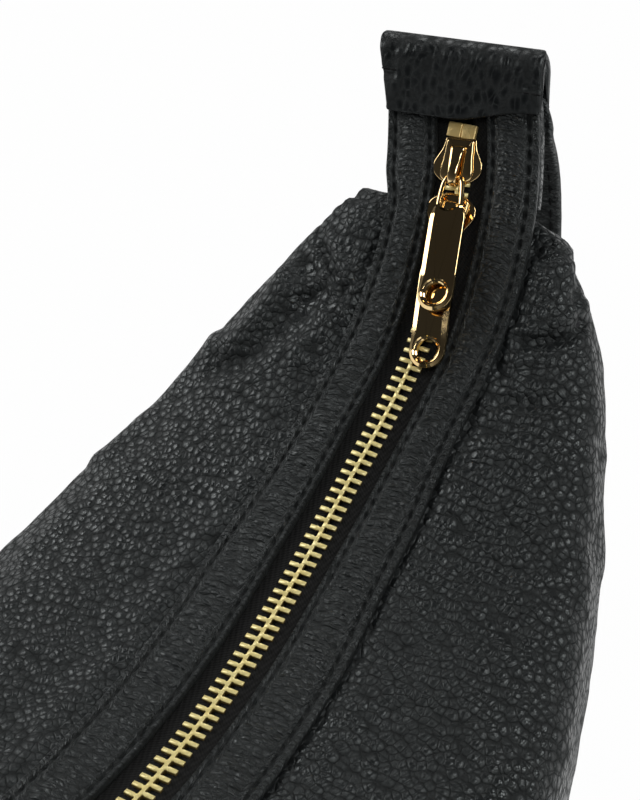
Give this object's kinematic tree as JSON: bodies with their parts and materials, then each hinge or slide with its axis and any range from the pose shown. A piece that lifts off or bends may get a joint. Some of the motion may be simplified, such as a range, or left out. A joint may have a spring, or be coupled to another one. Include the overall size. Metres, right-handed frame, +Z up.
{
  "type": "crossbody bag",
  "caption": "Soft crescent crossbody bag in pebbled black leather with a curved top zip, nose-to-nose sliders, gilt metal and a buckled strap.",
  "frame": {"origin": "middle of the base, on the surface the bag stands on", "axes": "+X along the bag towards the end where the sliders are parked, +Y towards the back panel, +Z up"},
  "size_m": [0.3356, 0.2217, 0.1919],
  "materials": {
    "leather": "pebbled, semi-gloss",
    "lining": "plain weave, matt",
    "tape": "twill tape, matt",
    "gold": "polished pale gold plate"
  },
  "bodies": {
    "bag": {"front_panel": "leather", "back_panel": "leather", "front_lining": "lining", "back_lining": "lining", "slip_pocket": "lining", "zip_facing_front": "leather", "zip_facing_back": "leather", "horn_backing_right": "leather", "horn_backing_left": "leather", "zip_tape_front": "tape", "zip_tape_back": "tape", "teeth_front": "gold", "teeth_back": "gold", "end_stop_right": "gold", "end_stop_left": "gold", "tab_right": "leather", "tab_left": "leather", "long_strap": "leather", "short_strap": "leather", "buckle_frame": "gold", "fixed_keeper": "leather"},
    "outer_slider": {"outer_slider": "gold"},
    "inner_slider": {"inner_slider": "gold"},
    "outer_pull": {"outer_pull": "gold"},
    "inner_pull": {"inner_pull": "gold"},
    "prong": {"buckle_prong": "gold"},
    "sliding_keeper": {"loose_keeper": "leather"}
  },
  "joints": [
    {"name": "outer_slider_travel", "type": "hinge", "parent": "bag", "child": "outer_slider", "pos_m": [0, 0, 0.264], "axis": [0, 1, 0], "range_deg": [0, 45]},
    {"name": "inner_slider_travel", "type": "hinge", "parent": "outer_slider", "child": "inner_slider", "pos_m": [0, 0, 0.264], "axis": [0, 1, 0], "range_deg": [0, 45.5]},
    {"name": "outer_pull_swing", "type": "hinge", "parent": "outer_slider", "child": "outer_pull", "pos_m": [0.12131, 0, 0.16746], "axis": [-0.1259, 0.9781, -0.1654], "range_deg": [0, 110]},
    {"name": "inner_pull_swing", "type": "hinge", "parent": "inner_slider", "child": "inner_pull", "pos_m": [0.1127, 0, 0.15753], "axis": [-0.1395, 0.9781, -0.1542], "range_deg": [0, 110]},
    {"name": "prong_swing", "type": "hinge", "parent": "bag", "child": "prong", "pos_m": [-0.025, 0.13, 0.0058], "axis": [0, -1, 0], "range_deg": [0, 30]},
    {"name": "keeper_slide", "type": "slide", "parent": "bag", "child": "sliding_keeper", "axis": [1, 0, 0], "range_m": [0, 0.02]}
  ],
  "couplings": [
    {"joint": "inner_pull_swing", "follows": "outer_pull_swing", "ratio": 1}
  ]
}
